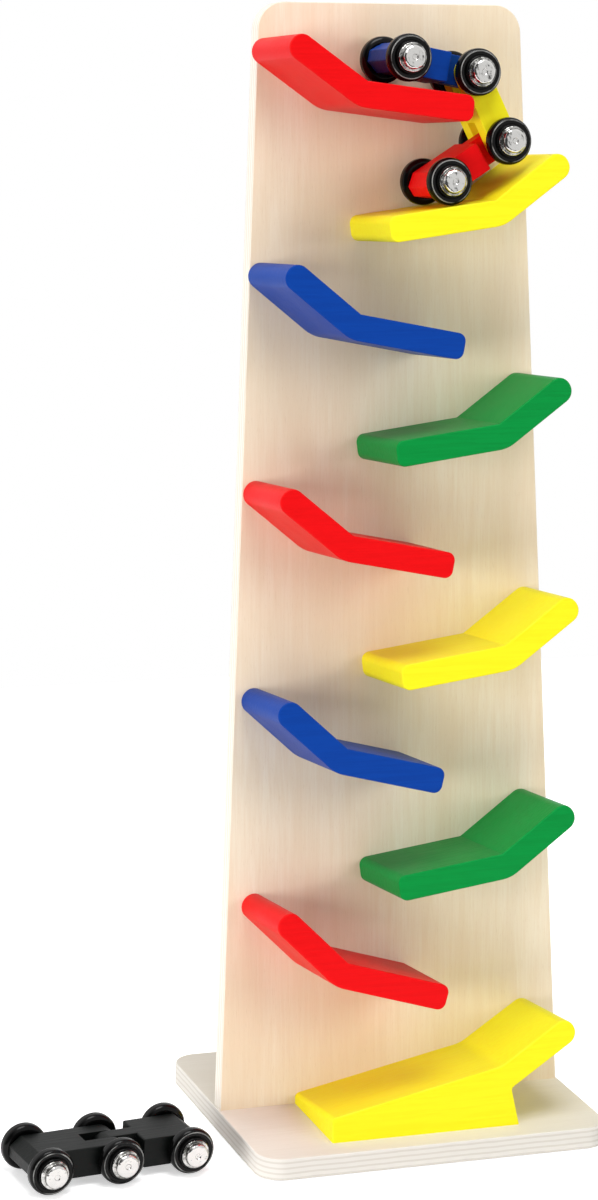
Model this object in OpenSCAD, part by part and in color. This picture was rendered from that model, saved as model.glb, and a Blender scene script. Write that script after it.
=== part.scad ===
/*
A wooden cascade track. A tall plywood board leans back on a flat base. Nine bent
ramps stand out from its face, to the left and right in turn, and a tenth runs out
onto the base. A jointed train of three links tips over the end of each ramp and
lands on the next one. A second car, of two links, stands on the floor.

Millimetres, +Z up, +X right along the board, +Y away from the ramps' side. The
origin is the middle of the base's underside. Board coordinates are x along the
board, y into it, and z up its leaning face from the top of the base.
*/

/* [Base] */
// Depth of the base, front to back
base_d = 158; // [130:1:240]
// Thickness of the base
base_t = 12; // [8:0.5:20]
// Radius of the base's upright corners
base_corner_r = 14; // [4:1:30]
// How far the base stands out past each foot corner of the board
base_margin = 1; // [0.5:0.5:20]
// Front edge of the base to the board's face
board_setback = 73; // [66:1:90]

/* [Board] */
// Length of the board, up its face
board_l = 596; // [520:1:800]
// Thickness of the board
board_t = 10; // [8:0.5:15]
// Width of the board at the foot
board_foot_w = 200; // [190:1:260]
// Width of the board at the top
board_top_w = 150; // [130:1:180]
// Radius of the board's two top corners
board_corner_r = 15; // [4:1:30]
// How far the board leans back, in degrees
board_lean = 7.5; // [3:0.5:10]

/* [Ramps] */
// Thickness of the ramps
ramp_t = 14; // [11:0.5:16]
// How far the ramps stand out from the board
ramp_d = 58; // [57:1:62]
// Length of a ramp's steep leg, from the bend
steep_l = 46; // [38:1:50]
// Length of a ramp's flat leg, from the bend
flat_l = 61; // [54:1:66]
// Slope of the steep leg, in degrees
steep_angle = 37.9; // [34:0.1:42]
// Slope of the flat leg, in degrees
flat_angle = 9.8; // [8:0.1:11]
// Radius under the bend
bend_r = 20; // [5:1:30]
// Radius of the flat leg's two end corners
tip_r = 4.5; // [1:0.5:5]

/* [Exit ramp] */
// Length of the exit ramp's long flat leg
exit_l = 101; // [90:1:110]
// Slope of the long flat leg, in degrees
exit_flat_angle = 11.4; // [10:0.1:12.5]
// Slope of the exit ramp's steep leg, in degrees
exit_steep_angle = 32.5; // [28:0.5:36]
// Bend of the exit ramp, to the right of the board's middle
exit_bend_x = 41.5; // [36:0.5:46]
// Bend of the exit ramp, above the base
exit_bend_z = 25.5; // [24:0.5:30]
// Foot of the exit ramp, to the right of its bend
exit_foot_out = 10.5; // [8:0.5:14]
// Notch above the foot, to the right of the bend
exit_notch_out = 6; // [4:0.5:7]

/* [Cars] */
// Distance between the axles of one link
axle_gap = 40; // [38:0.5:42]
// Height of a link
link_h = 16; // [13:0.5:17]
// Width of a link
link_w = 28.4; // [25:0.2:30]
// How far a link's free end reaches past its axle
nose_l = 10; // [9:0.5:12]
// Width of the tongue in the middle of a joint
tongue_w = 8.6; // [7:0.1:9.5]
// Play beside the tongue in its slot
tongue_play = 0.35; // [0.2:0.05:0.5]
// Axle to the square shoulder beside the tongue
shoulder_l = 14.6; // [13:0.2:16]
// Diameter of the wheels
wheel_d = 25; // [24:0.5:25.5]
// Width of the wheels
wheel_w = 7.2; // [6.5:0.1:8]
// Play between a wheel and the link beside it
wheel_play = 0.6; // [0.4:0.1:1]
// Diameter of the steel axles
axle_d = 3; // [2:0.1:4]
// Diameter of the hub caps' flange
cap_d = 15.6; // [14:0.2:16.4]
// Diameter of the hub caps' raised middle
cap_top_d = 12.6; // [11:0.2:13]
// How far a hub cap stands out past the tyre's face
cap_out = 5.75; // [5:0.25:6.5]

/* [Where the cars stand] */
// Bend of the top ramp to the last axle of the train, along the ramp
train_back_on_ramp = 25.2; // [22:0.1:28]
// How far the train's last wheels are lifted off the top ramp while it tips over the end
train_back_lift = 2.75; // [0:0.05:4]
// Bend of the second ramp to the first axle of the train, along the ramp
train_front_on_ramp = 20.6; // [17:0.1:23]
// Slope of the train's last link, in degrees, down to the right
rear_link_angle = -10.4; // [-11:0.1:-9]
// Middle axle of the floor car, to the left of the base
floor_car_out = 74.1; // [68:0.1:140]
// Middle axle of the floor car, in front of the origin
floor_car_front = 41.6; // [0:0.1:60]
// How far the floor car is turned on the floor, in degrees
floor_car_turn = 6.3; // [0:0.1:12]

/* [Screws] */
// Length of the wood screws
screw_l = 35; // [28:1:38]
// Diameter of the screws' shank
screw_d = 4; // [3:0.1:4.5]
// Diameter of the screws' countersunk head
screw_head_d = 7.6; // [6.5:0.1:8.5]

/* [Hidden] */
// Height of each bend up the board's face, as a share of the board's length, top ramp first
BEND_RISE_SHARES = [0.928, 0.8245, 0.726, 0.627, 0.532, 0.428, 0.343, 0.2385, 0.1497];
// Place of each bend, as a share of half the board's width at that height
BEND_OUT_SHARES = [0.468, 0.455, 0.486, 0.459, 0.509, 0.48, 0.52, 0.44, 0.49];
// How far each ramp was turned when it was fixed, in degrees, the steep leg down
RAMP_TURNS = [3.0, 2.0, -0.9, 2.2, -1.3, 2.2, -4.2, 2.1, -6.4];
// Length of each ramp's two legs, as a share of the full length
RAMP_LENGTH_SHARES = [1, 1, 1, 0.98, 0.975, 1, 0.95, 1, 1];
// Places of the foot screws, as shares of half the board's foot
FOOT_SCREW_SHARES = [-0.7, 0, 0.7];
// Place of a screw along its leg, as a share of the leg
LEG_SCREW_SHARE = 0.55;

// Play between an axle and the wood or the wheel that turns on it
axle_play = 0.08;
// Play between an axle and what it is pressed into
press_play = 0.01;
// Room between two pieces that rest on each other without being fixed
seat_gap = 0.3;
// Radius inside the bend of a ramp
bend_inner_r = 1.5;
// Radius of the steep leg's end, as a share of the ramp's thickness
ROUND_END_SHARE = 0.48;
// Radius of the exit ramp's lip
exit_lip_r = 4;
// Radius in the notch of the exit ramp
exit_notch_r = 2.5;
// How far the exit ramp's left end leans out towards the base
exit_lip_out = 3;
// Length of the sloped part of a link's nose
nose_slope_l = 6.2;
// Drop of the sloped part of a link's nose
nose_drop = 5;
// Small radius on the corners of a link
link_edge_r = 1;
// Radius of a link's round end, as a share of half the link's height
ROUND_SHARE = 0.98;
// Room between the end of a tongue and the bottom of its slot
slot_room = 7;
// Radius of a wheel's two edges
tyre_edge_r = 2.8;
// How far the raised black hub stands out past the tyre's face
hub_rise = 1.6;
// How far the raised hub shows round the hub cap
hub_margin = 0.8;
// Radius at the edge of the raised hub
hub_edge_r = 0.5;
// Width of the ring groove between the tyre's face and the raised hub
ring_w = 0.5;
// Depth of the ring groove
ring_depth = 0.7;
// Diameter of the hub on the inner face
inner_hub_d = 9;
// Depth of the recess inside the lip, on the inner face
inner_recess_depth = 1;
// Radius at the edge of a hub cap's raised middle
cap_edge_r = 1.3;
// Thickness of a hub cap's flange
cap_flange_t = 1;
// Radius at the edge of the flange
flange_edge_r = 0.3;
// Diameter of the small dimple in a hub cap
cap_dimple_d = 3.4;
// Depth of the small dimple
cap_dimple_depth = 0.5;
// How deep an axle goes into its hub cap
cap_grip = 2.4;
// Height of a screw's head
screw_head_h = 2.4;
// How far a screw's head is sunk below the face that it goes into
screw_sink = 0.3;
// Length of a screw's pointed tip
screw_tip_l = 5;
// Width of the cross slot in a screw's head
screw_slot_w = 1;
// Length of the cross slot
screw_slot_l = 4.2;
// Depth of the cross slot
screw_slot_depth = 1.4;
// Play round a screw's shank
screw_play = 0.05;
// Overrun of every cut
over = 1;
// Steps in a rounded corner
ARC_STEPS = 8;
// Facets of the round pieces
FACETS = 64;

BLUE = [0.05, 0.2, 0.62];
RED = [0.88, 0.08, 0.1];
YELLOW = [1, 0.88, 0.08];
GREEN = [0.05, 0.5, 0.22];
BIRCH = [0.92, 0.84, 0.73];
WHITEWASH = [0.93, 0.91, 0.88];
CHARCOAL = [0.2, 0.21, 0.21];
TYRE = [0.07, 0.07, 0.07];
NICKEL = [0.8, 0.8, 0.78];
STEEL = [0.62, 0.64, 0.66];
RAMP_COLOURS = [RED, YELLOW, BLUE, GREEN, RED, YELLOW, BLUE, GREEN, RED];

base_w = board_foot_w + 2 * base_margin;
board_y = board_setback - base_d / 2;
wheel_r = wheel_d / 2;
car_w = link_w + 2 * (wheel_play + wheel_w);
slot_w = tongue_w + 2 * tongue_play;
half_h = link_h / 2;
// Outer end of an axle, from the middle of its car
axle_end = car_w / 2 + hub_rise + seat_gap + cap_grip;

// Outlines. A corner is [x, y, radius], and rounded() turns it into an arc.
function unit(v) = v / norm(v);
function place(p) = [p[0], p[1]];
function corner(before, p, after, r) =
    let (
        u = unit(before - p),
        v = unit(after - p),
        half = acos(u * v) / 2,
        start = p + u * r / tan(half),
        end = p + v * r / tan(half),
        centre = p + unit(u + v) * r / sin(half),
        a = atan2(start.y - centre.y, start.x - centre.x),
        sweep = atan2(cross(start - centre, end - centre), (start - centre) * (end - centre))
    )
    r == 0 ? [p] : [for (i = [0 : ARC_STEPS])
        let (b = a + sweep * i / ARC_STEPS) centre + r * [cos(b), sin(b)]];
function rounded(corners) =
    let (n = len(corners))
    [for (i = [0 : n - 1]) each corner(
        place(corners[(i + n - 1) % n]), place(corners[i]), place(corners[(i + 1) % n]), corners[i][2])];

// Where things are on the board
function ramp_side(i) = i % 2 == 0 ? 1 : -1;
function half_w_at(z) = (board_foot_w + (board_top_w - board_foot_w) * z / board_l) / 2;
function bend_z(i) = board_l * BEND_RISE_SHARES[i];
function bend_x(i) = -ramp_side(i) * BEND_OUT_SHARES[i] * half_w_at(bend_z(i));
function bend(i) = [bend_x(i), bend_z(i)];
// Directions along the flat leg and the steep leg of a ramp, and out of the flat leg's top
function flat_dir(i) = let (a = flat_angle - RAMP_TURNS[i]) [ramp_side(i) * cos(a), -sin(a)];
function steep_dir(i) = let (a = steep_angle - RAMP_TURNS[i]) [-ramp_side(i) * cos(a), sin(a)];
function flat_up(i) = let (a = flat_angle - RAMP_TURNS[i]) [ramp_side(i) * sin(a), cos(a)];
function steep_up(i) = let (a = steep_angle - RAMP_TURNS[i]) [ramp_side(i) * sin(a), cos(a)];

// Where the train stands: its axles, from the last to the first
function on_ramp(i, along, lift) =
    bend(i) + along * flat_dir(i) + (wheel_r + seat_gap + lift) * flat_up(i);
// The point one axle gap from both p and q, to the right of the line from q up to p
function between(p, q) =
    let (u = unit(p - q), half = norm(p - q) / 2)
    (p + q) / 2 + sqrt(axle_gap * axle_gap - half * half) * [u.y, -u.x];
train_1 = on_ramp(0, train_back_on_ramp, train_back_lift);
train_2 = train_1 + axle_gap * [cos(rear_link_angle), sin(rear_link_angle)];
train_4 = on_ramp(1, train_front_on_ramp, 0);
train_3 = between(train_2, train_4);
TRAIN_AXLES = [train_1, train_2, train_3, train_4];
function angle_to(p, q) = atan2(q.y - p.y, q.x - p.x);

module on_board() {
    translate([0, board_y, base_t]) rotate([-board_lean, 0, 0]) children();
}

// A flat outline in board coordinates, drawn out from the board's face
module out_from_board(depth) {
    rotate([90, 0, 0]) linear_extrude(depth) children();
}

module below_base_top(span) {
    translate([-span / 2, -span / 2, base_t - span]) cube(span);
}

// Screws. A screw points along -Z, with the face that it goes into on z = 0.
module screw() {
    translate([0, 0, -screw_sink]) difference() {
        rotate_extrude($fn = FACETS) polygon([
            [0, 0], [screw_head_d / 2, 0], [screw_d / 2, -screw_head_h],
            [screw_d / 2, -screw_l + screw_tip_l], [0, -screw_l]
        ]);
        for (a = [0, 90]) rotate([0, 0, a])
            translate([-screw_slot_l / 2, -screw_slot_w / 2, -screw_slot_depth])
                cube([screw_slot_l, screw_slot_w, screw_slot_depth + over]);
    }
}

module screw_hole() {
    head_r = screw_head_d / 2 + screw_play;
    shank_r = screw_d / 2 + screw_play;
    rotate_extrude($fn = FACETS) polygon([
        [0, over], [head_r, over], [head_r, -screw_sink], [shank_r, -screw_sink - screw_head_h],
        [shank_r, -screw_sink - screw_l - over], [0, -screw_sink - screw_l - over]
    ]);
}

// The two screws of a ramp come through the board from behind
module at_ramp_screws(i) {
    for (leg = [[steep_dir(i), steep_up(i), steep_l], [flat_dir(i), flat_up(i), flat_l]]) {
        along = leg[2] * RAMP_LENGTH_SHARES[i] * LEG_SCREW_SHARE;
        p = bend(i) + leg[0] * along - leg[1] * ramp_t / 2;
        translate([p.x, board_t, p.y]) rotate([-90, 0, 0]) children();
    }
}

exit_bend = [exit_bend_x, exit_bend_z];
exit_flat_dir = [-cos(exit_flat_angle), -sin(exit_flat_angle)];
exit_steep_dir = [cos(exit_steep_angle), sin(exit_steep_angle)];
exit_steep_down = [sin(exit_steep_angle), -cos(exit_steep_angle)];
exit_flat_down = [sin(exit_flat_angle), -cos(exit_flat_angle)];

module at_exit_screws() {
    for (leg = [[exit_steep_dir, exit_steep_down, steep_l], [exit_flat_dir, exit_flat_down, flat_l]]) {
        p = exit_bend + leg[0] * leg[2] * LEG_SCREW_SHARE + leg[1] * ramp_t / 2;
        translate([p.x, board_t, p.y]) rotate([-90, 0, 0]) children();
    }
}

module at_base_screws() {
    grip = (screw_l - base_t) / 2;
    middle = board_y + board_t / 2 / cos(board_lean) + grip * tan(board_lean);
    for (share = FOOT_SCREW_SHARES)
        translate([share * board_foot_w / 2, middle, 0]) rotate([180, 0, 0]) children();
}

// Base and board
module base_plate() {
    color(WHITEWASH) difference() {
        linear_extrude(base_t) polygon(rounded([
            for (q = [[-1, -1], [1, -1], [1, 1], [-1, 1]])
                [q.x * base_w / 2, q.y * base_d / 2, base_corner_r]
        ]));
        at_base_screws() screw_hole();
    }
}

module back_board() {
    // The foot is drawn too long and trimmed flat on the base
    foot = board_t;
    color(BIRCH) difference() {
        on_board() translate([0, board_t, 0]) out_from_board(board_t) polygon(rounded([
            [-board_foot_w / 2, 0, 0], [-board_foot_w / 2, -foot, 0],
            [board_foot_w / 2, -foot, 0], [board_foot_w / 2, 0, 0],
            [board_top_w / 2, board_l, board_corner_r], [-board_top_w / 2, board_l, board_corner_r]
        ]));
        below_base_top(2 * base_w);
        on_board() {
            for (i = [0 : len(BEND_RISE_SHARES) - 1]) at_ramp_screws(i) screw_hole();
            at_exit_screws() screw_hole();
        }
        at_base_screws() screw_hole();
    }
}

// Ramps
function ramp_outline(i) =
    let (
        down_flat = -flat_up(i) * ramp_t,
        down_steep = -steep_up(i) * ramp_t,
        under = (down_flat + down_steep) / (1 + flat_up(i) * steep_up(i)),
        tip = flat_dir(i) * flat_l * RAMP_LENGTH_SHARES[i],
        top = steep_dir(i) * steep_l * RAMP_LENGTH_SHARES[i],
        end_r = ramp_t * ROUND_END_SHARE
    )
    [for (c = [[[0, 0], bend_inner_r], [tip, tip_r], [tip + down_flat, tip_r], [under, bend_r],
               [top + down_steep, end_r], [top, end_r]])
        [bend(i).x + c[0].x, bend(i).y + c[0].y, c[1]]];

module ramp(i) {
    color(RAMP_COLOURS[i]) on_board() difference() {
        out_from_board(ramp_d) polygon(rounded(ramp_outline(i)));
        at_ramp_screws(i) screw_hole();
    }
}

function exit_outline() =
    let (
        floor_z = -ramp_d * tan(board_lean) - over,
        lip = exit_bend + exit_flat_dir * exit_l,
        top = exit_bend + exit_steep_dir * steep_l,
        below = exit_bend + exit_steep_down * ramp_t,
        notch = below + exit_steep_dir * (exit_bend.x + exit_notch_out - below.x) / exit_steep_dir.x,
        end_r = ramp_t * ROUND_END_SHARE
    )
    [for (c = [[exit_bend, bend_r], [top, end_r], [top + exit_steep_down * ramp_t, end_r],
               [notch, exit_notch_r], [[exit_bend.x + exit_foot_out, floor_z], 0],
               [[lip.x - exit_lip_out, floor_z], 0], [lip, exit_lip_r]])
        [c[0].x, c[0].y, c[1]]];

module exit_ramp() {
    color(YELLOW) difference() {
        on_board() difference() {
            out_from_board(ramp_d) polygon(rounded(exit_outline()));
            at_exit_screws() screw_hole();
        }
        below_base_top(2 * base_w);
    }
}

module ramp_screws() {
    color(STEEL) on_board() {
        for (i = [0 : len(BEND_RISE_SHARES) - 1]) at_ramp_screws(i) screw();
        at_exit_screws() screw();
    }
}

module base_screws() {
    color(STEEL) at_base_screws() screw();
}

// Cars. A link lies along +X from its first axle at the origin, with y across and z up.
module across(width) {
    translate([0, width / 2, 0]) rotate([90, 0, 0]) linear_extrude(width) children();
}

module axle_bore(x, play) {
    translate([x, 0, 0]) rotate([90, 0, 0])
        cylinder(h = link_w + 2 * over, r = axle_d / 2 + play, center = true, $fn = FACETS);
}

// Corners of a link's free end, from its top to its underside
NOSE = [
    [-nose_l + nose_slope_l, half_h, link_edge_r], [-nose_l, half_h - nose_drop, link_edge_r],
    [-nose_l, -half_h + nose_drop, link_edge_r], [-nose_l + nose_slope_l, -half_h, link_edge_r]
];
// Corners of a round end that turns about an axle at x, from the underside to the top
function round_end(x, side) = [
    [x + side * half_h, -side * half_h, half_h * ROUND_SHARE],
    [x + side * half_h, side * half_h, half_h * ROUND_SHARE]
];

// A slot that opens past the axle at x, towards +X or, with side -1, towards -X
module fork_slot(x, side) {
    bottom = half_h + slot_room;
    from = side > 0 ? x - bottom : x - half_h - over;
    translate([from, -slot_w / 2, -half_h - over])
        cube([bottom + half_h + over, slot_w, link_h + 2 * over]);
}

// A link with a nose at its first axle and a tongue round its second one
module tongue_link(colour) {
    color(colour) difference() {
        union() {
            across(link_w) polygon(rounded(concat(NOSE, [
                [axle_gap - shoulder_l, -half_h, link_edge_r], [axle_gap - shoulder_l, half_h, link_edge_r]
            ])));
            across(tongue_w) polygon(rounded(concat(
                [[axle_gap / 2, half_h, 0], [axle_gap / 2, -half_h, 0]], round_end(axle_gap, 1)
            )));
        }
        axle_bore(0, axle_play);
        axle_bore(axle_gap, axle_play);
    }
}

// A link with a nose at its first axle and a fork round its second one
module fork_link(colour) {
    color(colour) difference() {
        across(link_w) polygon(rounded(concat(NOSE, round_end(axle_gap, 1))));
        fork_slot(axle_gap, 1);
        axle_bore(0, axle_play);
        axle_bore(axle_gap, axle_play);
    }
}

// A link with a fork round each of its axles
module double_fork_link(colour) {
    color(colour) difference() {
        across(link_w) polygon(rounded(concat(round_end(0, -1), round_end(axle_gap, 1))));
        fork_slot(0, -1);
        fork_slot(axle_gap, 1);
        axle_bore(0, axle_play);
        axle_bore(axle_gap, axle_play);
    }
}

// A round piece about the axle's line: outline points are [distance from the axle, way out]
module about_axle(side) {
    rotate([side < 0 ? 90 : -90, 0, 0]) rotate_extrude($fn = FACETS) children();
}

// Outline of a wheel, with its way out measured from the inner face
function wheel_outline() =
    let (
        bore = axle_d / 2 + axle_play,
        hub = inner_hub_d / 2,
        raised = cap_d / 2 + hub_margin,
        lip_in = raised + ring_w
    )
    [
        [bore, 0, 0], [hub, 0, 0], [hub, inner_recess_depth, 0], [lip_in, inner_recess_depth, 0],
        [lip_in, 0, 0], [wheel_r, 0, tyre_edge_r], [wheel_r, wheel_w, tyre_edge_r],
        [lip_in, wheel_w, 0], [lip_in, wheel_w - ring_depth, 0], [raised, wheel_w - ring_depth, 0],
        [raised, wheel_w + hub_rise, hub_edge_r], [bore, wheel_w + hub_rise, 0]
    ];

module wheel(side) {
    color(TYRE) translate([0, side * (link_w / 2 + wheel_play), 0])
        about_axle(side) polygon(rounded(wheel_outline()));
}

module axle() {
    color(STEEL) rotate([90, 0, 0]) cylinder(h = 2 * axle_end, d = axle_d, center = true, $fn = FACETS);
}

// Outline of a hub cap, with its way out measured from the wheel's hub face
function cap_outline() =
    let (
        from = seat_gap,
        top = cap_out - hub_rise,
        grip_r = axle_d / 2 + press_play
    )
    [
        [grip_r, from, 0], [cap_d / 2, from, 0], [cap_d / 2, from + cap_flange_t, flange_edge_r],
        [cap_top_d / 2, from + cap_flange_t, 0], [cap_top_d / 2, top, cap_edge_r],
        [cap_dimple_d / 2, top, 0], [cap_dimple_d / 2, top - cap_dimple_depth, 0],
        [0, top - cap_dimple_depth, 0], [0, from + cap_grip, 0], [grip_r, from + cap_grip, 0]
    ];

module axle_caps() {
    color(NICKEL) for (side = [-1, 1])
        translate([0, side * (car_w / 2 + hub_rise), 0]) about_axle(side) polygon(rounded(cap_outline()));
}

// Train: links and axles in board coordinates
module at_train_axle(k) {
    p = TRAIN_AXLES[k];
    on_board() translate([p.x, -ramp_d / 2, p.y]) children();
}

module from_train_axle(k, next) {
    at_train_axle(k) rotate([0, -angle_to(TRAIN_AXLES[k], TRAIN_AXLES[next]), 0]) children();
}

// Floor car: links and axles along its own line on the floor
module at_floor_axle(k) {
    translate([-base_w / 2 - floor_car_out, -floor_car_front, wheel_r])
        rotate([0, 0, floor_car_turn]) translate([(k - 1) * axle_gap, 0, 0]) children();
}

base_plate();
back_board();
ramp(0);  // ramp_1_red
ramp(1);  // ramp_2_yellow
ramp(2);  // ramp_3_blue
ramp(3);  // ramp_4_green
ramp(4);  // ramp_5_red
ramp(5);  // ramp_6_yellow
ramp(6);  // ramp_7_blue
ramp(7);  // ramp_8_green
ramp(8);  // ramp_9_red
exit_ramp();  // exit_ramp_yellow
ramp_screws();
base_screws();
from_train_axle(0, 1) tongue_link(BLUE);  // train_rear_link
from_train_axle(1, 2) double_fork_link(YELLOW);  // train_middle_link
from_train_axle(3, 2) tongue_link(RED);  // train_front_link
at_train_axle(0) axle();  // train_axle_1
at_train_axle(1) axle();  // train_axle_2
at_train_axle(2) axle();  // train_axle_3
at_train_axle(3) axle();  // train_axle_4
at_train_axle(0) axle_caps();  // train_caps_1
at_train_axle(1) axle_caps();  // train_caps_2
at_train_axle(2) axle_caps();  // train_caps_3
at_train_axle(3) axle_caps();  // train_caps_4
at_train_axle(0) wheel(-1);  // train_wheel_1_outer
at_train_axle(1) wheel(-1);  // train_wheel_2_outer
at_train_axle(2) wheel(-1);  // train_wheel_3_outer
at_train_axle(3) wheel(-1);  // train_wheel_4_outer
at_train_axle(0) wheel(1);  // train_wheel_1_inner
at_train_axle(1) wheel(1);  // train_wheel_2_inner
at_train_axle(2) wheel(1);  // train_wheel_3_inner
at_train_axle(3) wheel(1);  // train_wheel_4_inner
at_floor_axle(0) fork_link(CHARCOAL);  // car_fork_link
at_floor_axle(2) rotate([0, 0, 180]) tongue_link(CHARCOAL);  // car_tongue_link
at_floor_axle(0) axle();  // car_axle_1
at_floor_axle(1) axle();  // car_axle_2
at_floor_axle(2) axle();  // car_axle_3
at_floor_axle(0) axle_caps();  // car_caps_1
at_floor_axle(1) axle_caps();  // car_caps_2
at_floor_axle(2) axle_caps();  // car_caps_3
at_floor_axle(0) wheel(-1);  // car_wheel_1_outer
at_floor_axle(1) wheel(-1);  // car_wheel_2_outer
at_floor_axle(2) wheel(-1);  // car_wheel_3_outer
at_floor_axle(0) wheel(1);  // car_wheel_1_inner
at_floor_axle(1) wheel(1);  // car_wheel_2_inner
at_floor_axle(2) wheel(1);  // car_wheel_3_inner
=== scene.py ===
# %% [markdown]
# # A wooden cascade track, from the CAD frame to the studio picture
#
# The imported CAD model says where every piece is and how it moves. This script gives each
# piece a surface with soft edges and a finish, and then sets the studio round it.
#
# The visible pieces could be made by bevelling the CAD meshes. Those meshes are cut into
# thin triangles, and a bevel on them leaves creases. Here each surface is worked out
# from a few real sizes, with its exact normals, so the flat faces stay flat and the soft
# edges catch the light evenly.

import math

import bpy
import numpy as np
from mathutils import Matrix, Vector
from mathutils.geometry import tessellate_polygon


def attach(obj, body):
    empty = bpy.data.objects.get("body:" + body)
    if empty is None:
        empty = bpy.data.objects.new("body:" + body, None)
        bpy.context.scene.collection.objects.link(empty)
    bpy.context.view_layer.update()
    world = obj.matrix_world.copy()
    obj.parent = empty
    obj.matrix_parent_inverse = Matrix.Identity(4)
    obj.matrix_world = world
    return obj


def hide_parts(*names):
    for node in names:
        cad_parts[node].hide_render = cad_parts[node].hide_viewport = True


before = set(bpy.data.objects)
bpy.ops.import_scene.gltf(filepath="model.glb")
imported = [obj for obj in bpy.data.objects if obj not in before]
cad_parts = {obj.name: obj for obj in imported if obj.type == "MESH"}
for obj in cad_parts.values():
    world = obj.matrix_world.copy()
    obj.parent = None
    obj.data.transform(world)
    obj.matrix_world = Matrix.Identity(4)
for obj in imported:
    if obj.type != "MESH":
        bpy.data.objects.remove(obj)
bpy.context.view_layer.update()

# %% [markdown]
# ## Real sizes
#
# All sizes are millimetres, as a maker would mark them out, and all angles are degrees.
# In the names, W is a width, D a depth or diameter, T a thickness, L a length, H a height
# and R a radius. SOFT is the radius of an edge broken with fine paper. The last step of
# every surface turns millimetres into metres.

# %% Sizes of the tower
MM = 0.001

BASE_W, BASE_D, BASE_T, BASE_CORNER_R, BASE_SOFT = 202, 158, 12, 14, 0.7
BOARD_L, BOARD_T, BOARD_FOOT_W, BOARD_TOP_W = 596, 10, 200, 150
BOARD_CORNER_R, BOARD_FOOT_R, BOARD_SOFT = 15, 0.5, 0.6
BOARD_SETBACK, BOARD_LEAN = 73, 7.5
FOOT_RISE = math.tan(math.radians(BOARD_LEAN))

RAMP_T, RAMP_D, RAMP_SOFT, STEEP_L, FLAT_L = 14, 58, 0.8, 46, 61
STEEP_ANGLE, FLAT_ANGLE = 37.9, 9.8
BEND_R, BEND_INNER_R, TIP_R, END_R = 20, 1.5, 4.5, 6.72
# Where each ramp bends, as a share of the board's length and of its half width there
BEND_RISE_SHARES = (0.928, 0.8245, 0.726, 0.627, 0.532, 0.428, 0.343, 0.2385, 0.1497)
BEND_OUT_SHARES = (0.468, 0.455, 0.486, 0.459, 0.509, 0.48, 0.52, 0.44, 0.49)
# How far each ramp was screwed on out of true, and how long it was sawn
RAMP_TURNS = (3.0, 2.0, -0.9, 2.2, -1.3, 2.2, -4.2, 2.1, -6.4)
RAMP_LENGTH_SHARES = (1, 1, 1, 0.98, 0.975, 1, 0.95, 1, 1)
RAMP_COLOURS = ("red", "yellow", "blue", "green", "red", "yellow", "blue", "green", "red")

EXIT_L, EXIT_FLAT_ANGLE, EXIT_STEEP_ANGLE = 100, 11.4, 32.5
EXIT_BEND = np.array((41.5, 25.5))
EXIT_FOOT_OUT, EXIT_NOTCH_OUT = 10.5, 6
EXIT_LIP_R, EXIT_NOTCH_R, EXIT_FOOT_R = 3, 2.5, 0.3

SCREW_L, SCREW_HOLE_R, SCREW_HOLE_DEPTH, LEG_SCREW_SHARE = 35, 3.85, 1, 0.55
FOOT_SCREW_SHARES = (-0.7, 0, 0.7)
print(f"Board {BOARD_L} mm long, {len(BEND_RISE_SHARES)} bent ramps")

# %% Sizes of the train and the floor car
AXLE_GAP, LINK_H, LINK_W, LINK_SOFT, LINK_EDGE_R = 40, 16, 28.4, 0.6, 1
NOSE_L, NOSE_SLOPE_L, NOSE_DROP = 10, 6.2, 5
TONGUE_W, TONGUE_PLAY, TONGUE_SOFT, SHOULDER_L, SLOT_ROOM = 8.6, 0.35, 0.4, 14.6, 7
HALF_H = LINK_H / 2
SLOT_W = TONGUE_W + 2 * TONGUE_PLAY

WHEEL_D, WHEEL_W, WHEEL_PLAY, AXLE_D, AXLE_PLAY = 25, 7.2, 0.6, 3, 0.08
TYRE_EDGE_R, HUB_RISE, HUB_MARGIN, RING_W, RING_DEPTH = 2.8, 1.6, 0.8, 0.5, 0.7
INNER_HUB_R, INNER_RING_DEPTH = 4.5, 1
BEAD_R, BEAD_W, BEAD_H, BEAD_SLOPE_H = 11.4, 0.7, 0.3, 1.05
WHEEL_R = WHEEL_D / 2
BORE = AXLE_D / 2 + AXLE_PLAY

CAP_D, CAP_TOP_D, CAP_OUT, SEAT_GAP, FLANGE_T = 15.6, 12.6, 5.75, 0.3, 1
GRIP_L, GRIP_GAP = 2.4, 0.01
DIMPLE_R, DIMPLE_FLOOR_R, DIMPLE_DEPTH = 1.7, 1.3, 0.5

# How far along the first two ramps the train's ends are, and how it is tilted
TRAIN_BACK_ON_RAMP, TRAIN_BACK_LIFT, TRAIN_FRONT_ON_RAMP = 25.2, 2.75, 20.6
REAR_LINK_ANGLE = -10.4
# The floor car's middle axle: out from the base's left side, in front of its middle
FLOOR_CAR_OUT, FLOOR_CAR_FRONT, FLOOR_CAR_TURN = 74.1, 41.6, 6.3
print(f"Wheels {WHEEL_D} mm, axles {AXLE_GAP} mm apart, slots {SLOT_W:.1f} mm wide")

# %% [markdown]
# ## Outlines with round corners
#
# Ramps, links and plates are all sawn from flat stock: an outline with round corners,
# and a thickness. The outline carries its own normals. That makes it possible to move
# it inwards by any small distance, which is all a softened edge needs.


# %% Outlines with round corners
def unit(v):
    """Each vector divided by its own length."""
    return v / np.linalg.norm(v, axis=-1, keepdims=True)


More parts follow.
